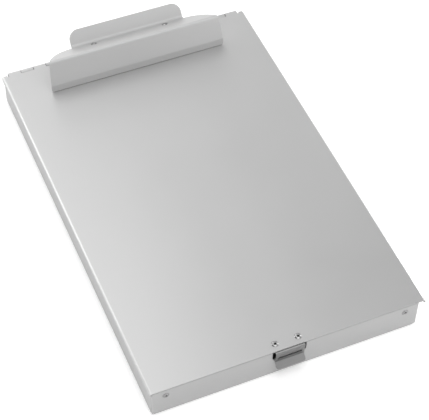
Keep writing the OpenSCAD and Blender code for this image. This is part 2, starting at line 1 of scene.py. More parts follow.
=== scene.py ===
"""Looks of the storage clipboard box: finishes, rivets, springs and a soft white studio.

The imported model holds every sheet, rod and joint. This script dresses it: folded sheets get smooth
bends and a satin anodised finish, rivets and springs become finer meshes in the same places, and the
studio repeats the photograph's viewpoint and light. Lengths are in metres.
"""

import logging
import math
from dataclasses import dataclass, field
from enum import Enum
from typing import ClassVar

import bmesh
import bpy
import numpy as np
from mathutils import Matrix, Vector

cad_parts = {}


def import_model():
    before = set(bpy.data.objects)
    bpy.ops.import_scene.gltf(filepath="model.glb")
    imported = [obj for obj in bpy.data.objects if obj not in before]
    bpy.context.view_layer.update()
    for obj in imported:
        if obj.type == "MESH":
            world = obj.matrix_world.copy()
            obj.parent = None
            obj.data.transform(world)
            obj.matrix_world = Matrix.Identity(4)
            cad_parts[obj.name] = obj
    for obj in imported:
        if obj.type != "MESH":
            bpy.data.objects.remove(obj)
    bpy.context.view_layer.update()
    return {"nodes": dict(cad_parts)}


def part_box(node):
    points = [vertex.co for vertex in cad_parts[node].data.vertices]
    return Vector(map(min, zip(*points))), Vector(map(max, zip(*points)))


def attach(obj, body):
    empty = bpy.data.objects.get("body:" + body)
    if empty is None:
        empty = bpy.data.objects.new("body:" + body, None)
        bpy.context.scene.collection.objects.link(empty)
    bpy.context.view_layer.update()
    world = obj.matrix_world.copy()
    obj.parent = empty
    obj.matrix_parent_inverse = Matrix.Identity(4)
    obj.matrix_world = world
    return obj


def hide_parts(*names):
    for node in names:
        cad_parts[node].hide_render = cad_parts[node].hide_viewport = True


MM = 0.001
# Vertices nearer than this are one: at the poles of a turned piece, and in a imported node's triangles.
POLE_WELD = 0.0005 * MM
SHEET_WELD = 0.002 * MM
# An edge stays sharp above this angle, on turned and wound pieces and on packed sheets.
TURNED_SHARP_DEGREES = 38.0
SHEET_SHARP_DEGREES = 24.0
# Height of a wire's domed end and radius of its last ring, as shares of the wire's radius.
DOME_HEIGHT = 0.5
TIP_RING = 0.02
# The Mix node's sockets share their names, so they are called by number.
FACTOR, FLOAT_A, FLOAT_B, COLOUR_A, COLOUR_B = 0, 2, 3, 6, 7
MIXED_COLOUR = 2
LOG = logging.getLogger("clipboard_box")


def linear(hex_colour: str) -> tuple[float, float, float, float]:
    """Turn an sRGB hex colour into linear RGBA.

    Args:
        hex_colour: Six hex digits after a hash sign.

    Returns:
        Red, green, blue and alpha, linear, from 0 to 1.
    """
    parts = [int(hex_colour[i : i + 2], 16) / 255 for i in (1, 3, 5)]
    values = [p / 12.92 if p <= 0.04045 else ((p + 0.055) / 1.055) ** 2.4 for p in parts]
    return values[0], values[1], values[2], 1.0


def add_node(
    tree: bpy.types.NodeTree, kind: str, values: dict | None = None, **settings: object
) -> bpy.types.Node:
    """Add a node, set its properties and fill or link its inputs.

    Args:
        tree: The node tree to add to.
        kind: The node's type name.
        values: Input name or index to a plain value, or to an output socket to link from.
        **settings: Properties of the node itself.

    Returns:
        The new node.
    """
    node = tree.nodes.new(kind)
    for name, value in settings.items():
        setattr(node, name, value)
    for key, value in (values or {}).items():
        if isinstance(value, bpy.types.NodeSocket):
            tree.links.new(value, node.inputs[key])
        else:
            node.inputs[key].default_value = value
    return node


def bare_material(name: str) -> bpy.types.Material:
    """Make a material with an empty node tree.

    Args:
        name: The material's name.

    Returns:
        The new material.
    """
    material = bpy.data.materials.new(name)
    material.use_nodes = True
    material.node_tree.nodes.clear()
    return material


def per_metre(size_mm: float) -> float:
    """Texture scale at which one feature is about this many millimetres across."""
    return 1 / (size_mm * MM)


class Grain(Enum):
    """Direction in which a sheet or rod was rolled, drawn or ground.

    The values scale the pattern on each axis, and the small one draws it out into lines.
    """

    NONE = (1.0, 1.0, 1.0)
    ALONG_X = (0.02, 1.0, 1.0)
    ALONG_Y = (1.0, 0.02, 1.0)


@dataclass(frozen=True)
class MetalFinish:
    """A metal surface: its colour, how rough it is, and the marks that its making leaves.

    The base colour drifts between two near tones over some centimetres, the roughness drifts with
    it, and a fine bump carries the grit of the surface with the grain of the rolled sheet. An oxide
    layer or an etched surface scatters a share of the light evenly. Edges are rubbed brighter, partly
    wear and partly a painted highlight; long folds may be polished, with a painted highlight on their
    colour; and gaps and corners are darkened with painted shade.
    """

    # No wear and painted edge highlight to full, as the cosine between the softened and the true normal.
    WEAR_AND_HIGHLIGHT: ClassVar[tuple[float, float]] = (0.97, 0.80)
    # The grit that keeps wear off, to the grit that lets it through.
    PATCHES: ClassVar[tuple[float, float]] = (0.35, 0.6)
    # No polishing and painted fold highlight to full, as the product of the normal's X and Z.
    FOLD: ClassVar[tuple[float, float]] = (0.08, 0.4)
    # No painted shade to full painted shade, as the share of the sky that is open.
    CREVICE_SHADE: ClassVar[tuple[float, float]] = (0.62, 0.1)
    # The range of a noise that covers nearly all of the surface.
    DRIFT: ClassVar[tuple[float, float]] = (0.3, 0.7)
    BEVEL_SAMPLES: ClassVar[int] = 6
    SKY_SAMPLES: ClassVar[int] = 8

    name: str
    slot: str
    colour: str
    second_colour: str
    roughness: float
    roughness_drift: float
    drift_mm: float
    grit_mm: float
    grit_height_mm: float
    grain: Grain = Grain.NONE
    grain_mm: float = 0.4
    grain_height_mm: float = 0.0
    scatter: float = 0.0
    # Rubbed edges: a lighter colour that is partly wear and partly a painted highlight, and the width of
    # its band.
    worn_and_highlight_colour: str = "#c4c4c4"
    wear_and_highlight_width_mm: float = 0.35
    # Painted shade in gaps and corners: its dark colour and how far it reaches.
    crevice_shade_colour: str = "#2e2e2e"
    crevice_mm: float = 1.6
    # Polished folds: their strength, a lighter colour that is partly a painted highlight, and their
    # lower roughness.
    fold_polish_and_highlight: float = 0.0
    polished_and_highlight_colour: str = "#dedede"
    polished_roughness: float = 0.28

    def worn_and_highlight_edges(self, tree: bpy.types.NodeTree, grit: bpy.types.NodeSocket) -> bpy.types.NodeSocket:
        """Mask of rubbed edges with a painted highlight, where a softened normal leaves the true one,
        broken up by the grit.

        Args:
            tree: The tree to add to.
            grit: The fine noise that breaks the wear up.

        Returns:
            A socket from 0 on flats to 1 on the sharpest edges, the most rubbed and most lightened by
            painted highlight.
        """
        soft = add_node(
            tree, "ShaderNodeBevel", {"Radius": self.wear_and_highlight_width_mm * MM}, samples=self.BEVEL_SAMPLES
        ).outputs[0]
        true = add_node(tree, "ShaderNodeNewGeometry").outputs["Normal"]
        match = add_node(
            tree, "ShaderNodeVectorMath", {0: soft, 1: true}, operation="DOT_PRODUCT"
        ).outputs["Value"]
        edge = add_node(
            tree, "ShaderNodeMapRange",
            {"Value": match, "From Min": self.WEAR_AND_HIGHLIGHT[0], "From Max": self.WEAR_AND_HIGHLIGHT[1]},
        ).outputs[0]
        patches = add_node(
            tree, "ShaderNodeMapRange",
            {"Value": grit, "From Min": self.PATCHES[0], "From Max": self.PATCHES[1]},
        ).outputs[0]
        return add_node(tree, "ShaderNodeMath", {0: edge, 1: patches}, operation="MULTIPLY").outputs[0]

    def folds(self, tree: bpy.types.NodeTree) -> bpy.types.NodeSocket:
        """Mask of a square box's long folds, which hands and shelves leave polished, and where a painted
        highlight lightens the colour.

        A flat's normal lies along one of the piece's own axes. In a fold between a side wall and a
        level face, the product of the normal's X and Z rises to one half and falls again.

        Args:
            tree: The tree to add to.

        Returns:
            A socket from 0 on the flats to the full polishing and painted highlight in the middle of a
            fold.
        """
        normal = add_node(tree, "ShaderNodeNewGeometry").outputs["Normal"]
        own = add_node(
            tree, "ShaderNodeVectorTransform", {"Vector": normal},
            vector_type="NORMAL", convert_from="WORLD", convert_to="OBJECT",
        ).outputs[0]
        x, _, z = add_node(tree, "ShaderNodeSeparateXYZ", {0: own}).outputs
        product = add_node(tree, "ShaderNodeMath", {0: x, 1: z}, operation="MULTIPLY").outputs[0]
        size = add_node(tree, "ShaderNodeMath", {0: product}, operation="ABSOLUTE").outputs[0]
        return add_node(
            tree, "ShaderNodeMapRange",
            {"Value": size, "From Min": self.FOLD[0], "From Max": self.FOLD[1],
             "To Max": self.fold_polish_and_highlight},
        ).outputs[0]

    def crevice_shade(self, tree: bpy.types.NodeTree) -> bpy.types.NodeSocket:
        """Mask of the painted shade that darkens the colour where another face is close by.

        Args:
            tree: The tree to add to.

        Returns:
            A socket from 0 in the open to 1 in the closest gaps.
        """
        sky = add_node(
            tree, "ShaderNodeAmbientOcclusion", {"Distance": self.crevice_mm * MM},
            samples=self.SKY_SAMPLES,
        ).outputs["AO"]
        return add_node(
            tree, "ShaderNodeMapRange",
            {"Value": sky, "From Min": self.CREVICE_SHADE[0], "From Max": self.CREVICE_SHADE[1]},
        ).outputs[0]

    def material(self) -> bpy.types.Material:
        """Build the material.

        Returns:
            The new material, named after the finish.
        """
        material = bare_material(self.name)
        tree = material.node_tree
        place = add_node(tree, "ShaderNodeTexCoord").outputs["Object"]
        drift = add_node(
            tree, "ShaderNodeTexNoise",
            {"Vector": place, "Scale": per_metre(self.drift_mm), "Detail": 2.0, "Roughness": 0.45},
        ).outputs["Fac"]
        roughness = add_node(
            tree, "ShaderNodeMapRange",
            {"Value": drift, "From Min": self.DRIFT[0], "From Max": self.DRIFT[1],
             "To Min": self.roughness - self.roughness_drift,
             "To Max": self.roughness + self.roughness_drift},
        ).outputs[0]
        grit = add_node(
            tree, "ShaderNodeTexNoise",
            {"Vector": place, "Scale": per_metre(self.grit_mm), "Detail": 3.0, "Roughness": 0.6},
        ).outputs["Fac"]
        # Colour layers: random tone drift, rubbed edges partly lightened as a painted highlight, and
        # painted shade in gaps and corners.
        layers = [
            (drift, self.second_colour),
            (self.worn_and_highlight_edges(tree, grit), self.worn_and_highlight_colour),
            (self.crevice_shade(tree), self.crevice_shade_colour),
        ]
        bump = add_node(
            tree, "ShaderNodeBump",
            {"Height": grit, "Distance": self.grit_height_mm * MM, "Strength": 1.0},
        ).outputs[0]
        if self.grain is not Grain.NONE:
            stretched = add_node(
                tree, "ShaderNodeMapping", {"Vector": place, "Scale": self.grain.value}
            ).outputs[0]
            lines = add_node(
                tree, "ShaderNodeTexNoise",
                {"Vector": stretched, "Scale": per_metre(self.grain_mm),
                 "Detail": 2.0, "Roughness": 0.5},
            ).outputs["Fac"]
            bump = add_node(
                tree, "ShaderNodeBump",
                {"Height": lines, "Distance": self.grain_height_mm * MM,
                 "Strength": 1.0, "Normal": bump},
            ).outputs[0]
        metallic: float | bpy.types.NodeSocket = 1 - self.scatter
        # Folds get a lower roughness and full metal, and a lighter colour painted on as a highlight.
        if self.fold_polish_and_highlight > 0:
            polish_and_highlight = self.folds(tree)
            layers.append((polish_and_highlight, self.polished_and_highlight_colour))
            roughness = add_node(
                tree, "ShaderNodeMix",
                {FACTOR: polish_and_highlight, FLOAT_A: roughness, FLOAT_B: self.polished_roughness},
            ).outputs[0]
            metallic = add_node(
                tree, "ShaderNodeMix", {FACTOR: polish_and_highlight, FLOAT_A: metallic, FLOAT_B: 1.0}
            ).outputs[0]
        colour: tuple | bpy.types.NodeSocket = linear(self.colour)
        for share, over in layers:
            colour = add_node(
                tree, "ShaderNodeMix", {FACTOR: share, COLOUR_A: colour, COLOUR_B: linear(over)},
                data_type="RGBA",
            ).outputs[MIXED_COLOUR]
        shader = add_node(
            tree, "ShaderNodeBsdfPrincipled",
            {"Base Color": colour, "Metallic": metallic, "Roughness": roughness, "Normal": bump},
        )
        add_node(tree, "ShaderNodeOutputMaterial", {"Surface": shader.outputs[0]})
        return material


# Aluminium sheet, etched and clear anodised: an even, silky grey with no clear reflection.
SATIN_SHEET = MetalFinish(
    name="satin_anodised_sheet", slot="satin_aluminium", colour="#adadad", second_colour="#b1b1b1",
    roughness=0.42, roughness_drift=0.015, drift_mm=70, grit_mm=0.7, grit_height_mm=0.004,
    grain=Grain.ALONG_Y, grain_mm=0.5, grain_height_mm=0.003, scatter=0.5, fold_polish_and_highlight=0.4,
)
# The clip plate is the same sheet with its grain across, as the strip was cut from the coil.
CLIP_SHEET = MetalFinish(
    name="satin_anodised_clip", slot="clip_aluminium", colour="#aeaeae", second_colour="#b4b4b4",
    roughness=0.5, roughness_drift=0.015, drift_mm=60, grit_mm=0.7, grit_height_mm=0.004,
    grain=Grain.ALONG_X, grain_mm=0.5, grain_height_mm=0.003, scatter=0.7,
)
# Rivet bodies: soft aluminium, tumbled bright, so their domes catch small sharp lights.
RIVET_BODY = MetalFinish(
    name="tumbled_aluminium", slot="rivet_aluminium", colour="#8f8f8f", second_colour="#9b9b9b",
    roughness=0.3, roughness_drift=0.04, drift_mm=3, grit_mm=0.5, grit_height_mm=0.006,
)
# Mandrel stems: steel, snapped off, with a dull torn end.
STEM_STEEL = MetalFinish(
    name="snapped_steel", slot="stem_steel", colour="#8a8a8a", second_colour="#9c9c9c",
    roughness=0.4, roughness_drift=0.08, drift_mm=0.8, grit_mm=0.25, grit_height_mm=0.03,
)
# Hinge pin, pivot rod and rings: cold-drawn steel rod with lengthwise drawing lines.
DRAWN_STEEL = MetalFinish(
    name="drawn_steel", slot="pin_steel", colour="#8f9192", second_colour="#9c9e9f",
    roughness=0.28, roughness_drift=0.05, drift_mm=12, grit_mm=0.3, grit_height_mm=0.003,
    grain=Grain.ALONG_X, grain_mm=0.3, grain_height_mm=0.006,
)
# Latch plate: rolled spring sheet, a little smoother than the anodised box; its dark colour is partly
# its own and partly a painted dark reflection.
SPRING_SHEET = MetalFinish(
    name="rolled_spring_sheet", slot="spring_steel_sheet", colour="#757575", second_colour="#7f7f7f",
    roughness=0.33, roughness_drift=0.03, drift_mm=14, grit_mm=0.5, grit_height_mm=0.003,
    grain=Grain.ALONG_X, grain_mm=0.35, grain_height_mm=0.004,
)
# Clip base and bracket: pressed steel with bright zinc plating, faintly mottled.
ZINC_PLATE = MetalFinish(
    name="zinc_plated_steel", slot="clip_steel", colour="#a3a5a6", second_colour="#adafb0",
    roughness=0.34, roughness_drift=0.03, drift_mm=7, grit_mm=0.6, grit_height_mm=0.002,
)
# Clip springs: hard-drawn spring wire with a thin oiled sheen.
SPRING_WIRE = MetalFinish(
    name="drawn_spring_wire", slot="spring_wire", colour="#858789", second_colour="#929496",
    roughness=0.26, roughness_drift=0.05, drift_mm=4, grit_mm=0.3, grit_height_mm=0.004,
)


class Workshop:
    """Hands out each finish's material once and puts pieces on their bodies."""

    def __init__(self) -> None:
        """Start with no materials made."""
        self.made: dict[str, bpy.types.Material] = {}

    def material(self, finish: MetalFinish) -> bpy.types.Material:
        """Look up a finish's material, and make it on first use.

        Args:
            finish: The finish.

        Returns:
            Its material.
        """
        if finish.name not in self.made:
            self.made[finish.name] = finish.material()
        return self.made[finish.name]

    def dress(self, piece: bpy.types.Object, finish: MetalFinish) -> None:
        """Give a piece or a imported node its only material.

        Args:
            piece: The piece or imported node.
            finish: The finish that it wears.
        """
        piece.data.materials.clear()
        piece.data.materials.append(self.material(finish))
        LOG.info("%s wears %s", piece.name, finish.name)

    def add(
        self, name: str, points: np.ndarray, faces: np.ndarray, finish: MetalFinish, body: str, node: str
    ) -> bpy.types.Object:
        """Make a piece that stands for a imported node.

        Args:
            name: The piece's name.
            points: Vertices in the part's frame, one row each.
            faces: Four vertex indices a row, counter-clockwise from outside.
            finish: The metal it is made of.
            body: The body that it rides on.
            node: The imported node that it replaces.

        Returns:
            The new piece.
        """
        mesh = bpy.data.meshes.new(name)
        mesh.from_pydata(points.tolist(), [], faces.tolist())
        mesh.validate()
        mesh.shade_smooth()
        piece = bpy.data.objects.new(name, mesh)
        bpy.context.scene.collection.objects.link(piece)
        self.dress(piece, finish)
        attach(piece, body)
        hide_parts(node)
        return piece


def grid_faces(rows: int, columns: int, closed_columns: bool = True) -> np.ndarray:
    """Faces of a grid of vertices stored row by row.

    Args:
        rows: Number of rows.
        columns: Number of vertices in each row.
        closed_columns: Whether the last column joins the first.

    Returns:
        One row of four indices per face.
    """
    across = np.arange(columns if closed_columns else columns - 1)
    row, column = np.meshgrid(np.arange(rows - 1), across, indexing="ij")
    after = (column + 1) % columns
    corners = (row * columns + column, row * columns + after, (row + 1) * columns + after,
               (row + 1) * columns + column)
    return np.stack([c.ravel() for c in corners], axis=1)


def turned_surface(profile: np.ndarray, sides: int) -> tuple[np.ndarray, np.ndarray]:
    """Surface of revolution about Z.

    Point (i, j) is profile point i (radius, height) turned by 2 pi j / sides, so
    x = radius cos, y = radius sin, z = height.

    Args:
        profile: Radius and height, one row each, from the bottom up on the outside.
        sides: Number of columns.

    Returns:
        Vertices and faces.
    """
    angle = 2 * np.pi * np.arange(sides) / sides
    radius, height = profile[:, :1], profile[:, 1:]
    x, y = radius * np.cos(angle), radius * np.sin(angle)
    points = np.stack([x, y, np.broadcast_to(height, x.shape)], axis=-1).reshape(-1, 3)
    return points, grid_faces(len(profile), sides)


def arc(centre: tuple[float, float], radius: float, start: float, end: float, count: int) -> np.ndarray:
    """Points on a circle from one angle to another, in degrees.

    Args:
        centre: The circle's middle.
        radius: The circle's radius.
        start: First angle.
        end: Last angle.
        count: Number of points.

    Returns:
        One row for each point.
    """
    angle = np.radians(np.linspace(start, end, count))
    return np.asarray(centre) + radius * np.stack([np.cos(angle), np.sin(angle)], axis=1)


def swept_tube(path: np.ndarray, radius: float, sides: int) -> tuple[np.ndarray, np.ndarray]:
    """Round tube along a path that stays nearly square to X, with domed ends.

    At path point i the ring is path + r (cos a n + sin a b), where t is the path's direction,
    n is X cross t and b is t cross n. The end rings shrink along a quarter circle to a last ring
    that is too small to see.

    Args:
        path: Points on the wire's middle line.
        radius: The wire's radius.
        sides: Points in each ring.

    Returns:
        Vertices and faces.
    """
    tangent = np.gradient(path, axis=0)
    tangent /= np.linalg.norm(tangent, axis=1, keepdims=True)
    dome = np.radians(np.array([90.0, 70.0, 45.0, 20.0]))
    swell = np.sin(dome)[:, None] * radius * DOME_HEIGHT
    middle = np.concatenate([path[0] - tangent[0] * swell, path, path[-1] + tangent[-1] * swell[::-1]])
    way = np.pad(tangent, ((len(dome), len(dome)), (0, 0)), mode="edge")
    reach = np.concatenate([np.cos(dome), np.ones(len(path)), np.cos(dome[::-1])]) * radius
    reach = np.maximum(reach, radius * TIP_RING)
    normal = np.cross(np.array([1.0, 0.0, 0.0]), way)
    normal /= np.linalg.norm(normal, axis=1, keepdims=True)
    binormal = np.cross(way, normal)
    angle = (2 * np.pi * np.arange(sides) / sides)[None, :, None]
    ring = np.cos(angle) * normal[:, None, :] + np.sin(angle) * binormal[:, None, :]
    points = middle[:, None, :] + reach[:, None, None] * ring
    return points.reshape(-1, 3), grid_faces(len(middle), sides)


def placed(points: np.ndarray, places: list[Matrix]) -> np.ndarray:
    """Copies of some points at several places, one after the other.

    Args:
        points: Vertices about the origin.
        places: One rigid placement for each copy.

    Returns:
        All the copies' vertices.
    """
    copies = []
    for place in places:
        turn, shift = np.array(place.to_3x3()), np.array(place.translation)
        copies.append(points @ turn.T + shift)
    return np.concatenate(copies)


@dataclass
class BlindRivets:
    """Blind rivets and their snapped stems, as surfaces of revolution.

    The head is a low dome with a rounded rim and a dished hole. Below the sheets the sleeve swells
    into the blind end, and the stem's ball sits in its mouth. The stem's other end is a slanted break
    inside the head's hole.
    """

    workshop: Workshop
    rivets: str
    stems: str
    body: str
    grip: float
    tilt_degrees: float
    head_radius: float = 2.8 * MM
    head_height: float = 1.0 * MM
    foot_inset: float = 0.05 * MM
    rim_round: float = 0.1 * MM
    crown_inset: float = 0.12 * MM
    shank_radius: float = 1.6 * MM
    bulb_radius: float = 2.4 * MM
    bulb_length: float = 2.0 * MM
    bulb_end_round: float = 0.7 * MM
    bulb_shoulder_round: float = 0.6 * MM
    stem_radius: float = 0.85 * MM
    bore_radius: float = 0.95 * MM
    dish: float = 0.5 * MM
    ball_drop: float = 0.88 * MM
    ball_round: float = 0.45 * MM
    ball_reach: float = 0.75 * MM
    stem_depth: float = 0.25 * MM
    break_edge: float = 0.1 * MM
    tear_ring: float = 0.55 * MM
    tear_ridge: float = 0.25 * MM
    tear_height: float = 0.04 * MM
    break_slope: float = 0.9
    break_towards: float = 20.0
    sides: int = 48

    def head_profile(self) -> np.ndarray:
        """Closed profile of the rivet: up the outside, over the dome and down the bore.

        Returns:
            Radius and height, one row each.
        """
        low = -self.grip - self.bulb_length
        dome = (self.head_radius**2 + self.head_height**2) / (2 * self.head_height)
        edge = math.degrees(math.asin((self.head_radius - self.crown_inset) / dome))
        mouth = math.degrees(math.asin((self.bore_radius + self.dish) / dome))
        crown = arc((0, self.head_height - dome), dome, 90 - edge, 90 - mouth, 14)
        dish = arc((self.bore_radius + self.dish, crown[-1, 1] - self.dish), self.dish, 90, 180, 8)
        end, shoulder, rim = self.bulb_end_round, self.bulb_shoulder_round, self.rim_round
        return np.concatenate([
            [(self.bore_radius, low), (self.bulb_radius - end, low)],
            arc((self.bulb_radius - end, low + end), end, -90, 0, 8),
            arc((self.bulb_radius - shoulder, -self.grip - shoulder), shoulder, 0, 90, 8),
            [(self.shank_radius, -self.grip), (self.shank_radius, 0.0)],
            [(self.head_radius - self.foot_inset, 0.0)],
            arc((self.head_radius - rim, rim), rim, -60, 60, 5),
            crown,
            dish,
            [(self.bore_radius, low)],
        ])

    def stem_profile(self) -> np.ndarray:
        """Profile of the snapped stem, from the ball under the blind end to the torn break.

        Returns:
            Radius and height, one row each.
        """
        low = -self.grip - self.bulb_length
        top = self.head_height - self.stem_depth
        torn = top - self.tear_height
        return np.concatenate([
            [(0.0, low - self.ball_drop)],
            arc((self.ball_reach, low - self.ball_round), self.ball_round, -90, 60, 9),
            [(self.stem_radius, low), (self.stem_radius, top - self.break_edge)],
            [(self.stem_radius - self.break_edge, top), (self.tear_ring, torn)],
            [(self.tear_ridge, top), (0.0, torn)],
        ])

    def broken(self, points: np.ndarray) -> np.ndarray:
        """Slant the stem's broken end: it falls away from its highest side by the slope.

        The points above the head's foot drop by slope * (x cos t + y sin t + stem radius - edge),
        where t is the direction of the low side.

        Args:
            points: Vertices of the stem.

        Returns:
            The same vertices with the end slanted.
        """
        turn = math.radians(self.break_towards)
        across = points[:, 0] * math.cos(turn) + points[:, 1] * math.sin(turn)
        drop = self.break_slope * (across + self.stem_radius - self.break_edge)
        slanted = points.copy()
        slanted[:, 2] -= np.where(points[:, 2] > 0, np.maximum(drop, 0), 0)
        return slanted

    def places(self) -> list[Matrix]:
        """Where the heads seat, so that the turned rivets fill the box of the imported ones.

        Returns:
            One placement for each rivet, with its head along +Z.
        """
        tilt = Matrix.Rotation(math.radians(self.tilt_degrees), 4, "X")
        single = placed(turned_surface(self.head_profile(), self.sides)[0], [tilt])
        own_low, own_high = single.min(axis=0), single.max(axis=0)
        low, high = (np.array(corner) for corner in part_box(self.rivets))
        pitch = np.maximum((high - low) - (own_high - own_low), 0)
        middle = (high + low) / 2 - (own_high + own_low) / 2
        pair, single_row = (-0.5, 0.5), (0.0,)
        steps = [pair if gap > self.head_radius else single_row for gap in pitch]
        return [
            Matrix.Translation(middle + pitch * np.array((i, j, k))) @ tilt
            for i in steps[0] for j in steps[1] for k in steps[2]
        ]

    def build(self) -> None:
        """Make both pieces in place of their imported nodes."""
        places = self.places()
        for name, node, profile, finish in (
            (self.rivets + "_turned", self.rivets, self.head_profile(), RIVET_BODY),
            (self.stems + "_snapped", self.stems, self.stem_profile(), STEM_STEEL),
        ):
            points, faces = turned_surface(profile, self.sides)
            if node == self.stems:
                points = self.broken(points)
            count = len(points)
            everywhere = np.concatenate([faces + i * count for i in range(len(places))])
            piece = self.workshop.add(name, placed(points, places), everywhere, finish, self.body, node)
            weld(piece)


def weld(piece: bpy.types.Object) -> None:
    """Merge the doubled vertices at poles and seams, and turn all faces outwards.

    Args:
        piece: The turned or wound piece.
    """
    work = bmesh.new()
    work.from_mesh(piece.data)
    bmesh.ops.remove_doubles(work, verts=work.verts, dist=POLE_WELD)
    bmesh.ops.recalc_face_normals(work, faces=work.faces)
    work.to_mesh(piece.data)
    work.free()
    piece.data.shade_smooth()
    piece.data.set_sharp_from_angle(angle=math.radians(TURNED_SHARP_DEGREES))


@dataclass
class TorsionSpring:
    """One clip spring: a helix round the pivot rod with a lower and an upper leg.

    In the plane across the rod the wire runs straight from the lower leg's tip to the coil, round it
    by a steady angle while it moves along the rod, and straight out to the upper leg's tip.
    """

    workshop: Workshop
    node: str
    side: int
    centre: tuple[float, float, float]
    reach_x: float
    wire_radius: float = 0.8 * MM
    coil_radius: float = 3.2 * MM
    pitch: float = 2.1 * MM
    lower_tip: tuple[float, float] = (9.5 * MM, -8.7 * MM)
    upper_tip: tuple[float, float] = (1.98 * MM, 7.87 * MM)
    turns: int = 5
    sides: int = 16
    steps_per_turn: int = 40
    steps_per_leg: int = 8

    def path(self) -> np.ndarray:
        """The wire's middle line.

        Returns:
            Points in the part's frame.
        """
        low, high = np.array(self.lower_tip), np.array(self.upper_tip)
        low_angle = math.degrees(math.atan2(low[1], low[0])) + math.degrees(
            math.asin(self.coil_radius / np.hypot(*low)))
        high_angle = math.degrees(math.atan2(high[1], high[0])) - math.degrees(
            math.asin(self.coil_radius / np.hypot(*high)))
        start, end = low_angle - 90, high_angle + 90
        sweep = 360 * self.turns + (start - end) % 360
        count = int(self.steps_per_turn * sweep / 360)
        angle = np.radians(start - np.linspace(0, sweep, count))
        travel = -self.pitch * np.linspace(0, sweep, count) / 360
        coil = np.stack(
            [travel, self.coil_radius * np.cos(angle), self.coil_radius * np.sin(angle)], axis=1
        )
        leg = np.linspace(0, 1, self.steps_per_leg)[:, None]
        first = (1 - leg) * np.array([0.0, low[0], low[1]]) + leg * coil[0]
        last = (1 - leg) * coil[-1] + leg * np.array([coil[-1, 0], high[0], high[1]])
        wire = np.concatenate([first[:-1], coil, last[1:]])
        wire[:, 0] = self.side * (wire[:, 0] + self.reach_x)
        return wire + np.array(self.centre)

    def build(self) -> None:
        """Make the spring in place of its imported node."""
        points, faces = swept_tube(self.path(), self.wire_radius, self.sides)
        piece = self.workshop.add(self.node + "_wound", points, faces, SPRING_WIRE, "lid", self.node)
        weld(piece)


class EdgeBreaker:
    """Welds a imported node's loose triangles and shades its bends smooth, without moving a vertex.

    A node group merges vertices that share a place, shades every face smooth, and keeps an edge sharp
    where its two faces meet at more than the limit.
    """

    def __init__(self, limit_degrees: float = SHEET_SHARP_DEGREES) -> None:
        """Build the node group once.

        Args:
            limit_degrees: Angle above which an edge stays sharp.
        """
        tree = bpy.data.node_groups.new("weld_and_smooth", "GeometryNodeTree")
        tree.interface.new_socket("Geometry", in_out="INPUT", socket_type="NodeSocketGeometry")
        tree.interface.new_socket("Geometry", in_out="OUTPUT", socket_type="NodeSocketGeometry")
        source = add_node(tree, "NodeGroupInput").outputs[0]
        merged = add_node(
            tree, "GeometryNodeMergeByDistance", {"Geometry": source, "Distance": SHEET_WELD}
        ).outputs[0]
        smooth = add_node(
            tree, "GeometryNodeSetShadeSmooth", {"Geometry": merged}, domain="FACE"
        ).outputs[0]
        angle = add_node(tree, "GeometryNodeInputMeshEdgeAngle").outputs[0]
        sharp = add_node(
            tree, "FunctionNodeCompare", {0: angle, 1: math.radians(limit_degrees)},
            operation="GREATER_THAN",
        ).outputs[0]
        kept = add_node(
            tree, "GeometryNodeSetShadeSmooth",
            {"Geometry": smooth, "Selection": sharp, "Shade Smooth": False}, domain="EDGE",
        ).outputs[0]
        add_node(tree, "NodeGroupOutput", {0: kept})
        self.tree = tree

    def apply(self, node: bpy.types.Object) -> None:
        """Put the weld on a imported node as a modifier."""
        node.modifiers.new("weld_and_smooth", "NODES").node_group = self.tree


@dataclass
class SheetWork:
    """The folded and pressed sheets, the pin, the rod and its rings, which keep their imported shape."""

    workshop: Workshop
    nodes: dict[str, bpy.types.Object]
    breaker: EdgeBreaker = field(default_factory=EdgeBreaker)
    finishes: tuple[tuple[str, MetalFinish], ...] = (
        ("tray_shell", SATIN_SHEET),
        ("lid_shell", SATIN_SHEET),
        ("latch_leaf", SPRING_SHEET),
        ("latch_catch", SPRING_SHEET),
        ("clip_plate", CLIP_SHEET),
        ("clip_base", ZINC_PLATE),
        ("clip_bracket", ZINC_PLATE),
        ("hinge_pin", DRAWN_STEEL),
        ("pivot_rod", DRAWN_STEEL),
        ("rod_rings", DRAWN_STEEL),
    )

    def build(self) -> None:
        """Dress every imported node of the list."""
        for name, finish in self.finishes:
            self.workshop.dress(self.nodes[name], finish)
            self.breaker.apply(self.nodes[name])


@dataclass(frozen=True)
class Softbox:
    """A square soft lamp that looks at the object."""

    name: str
    place: tuple[float, float, float]
    side: float
    brightness: float

    def hang(self) -> None:
        """Make the lamp, with the power that gives its face this brightness."""
        light = bpy.data.lights.new(self.name, "AREA")
        light.shape = "SQUARE"
        light.size = self.side
        light.energy = self.brightness * math.pi * self.side**2
        lamp = bpy.data.objects.new(self.name, light)
        lamp.location = self.place
        lamp.rotation_euler = (-Vector(self.place)).to_track_quat("-Z", "Y").to_euler()
        bpy.context.scene.collection.objects.link(lamp)


@dataclass(frozen=True)
class Flag:
    """A square dark card, out of view, that faces the object and takes light from one side."""

    name: str
    place: tuple[float, float, float]
    side: float
    cloth_colour: str = "#303030"

    def stand(self) -> None:
        """Make the card and stage it."""
        flag = flat_square(self.name, self.side / 2)
        flag.location = self.place
        flag.rotation_euler = (-Vector(self.place)).to_track_quat("Z", "Y").to_euler()
        flag.visible_camera = False
        material = bare_material(self.name + "_cloth")
        tree = material.node_tree
        cloth = add_node(tree, "ShaderNodeBsdfDiffuse", {"Color": linear(self.cloth_colour)}).outputs[0]
        add_node(tree, "ShaderNodeOutputMaterial", {"Surface": cloth})
        flag.data.materials.append(material)


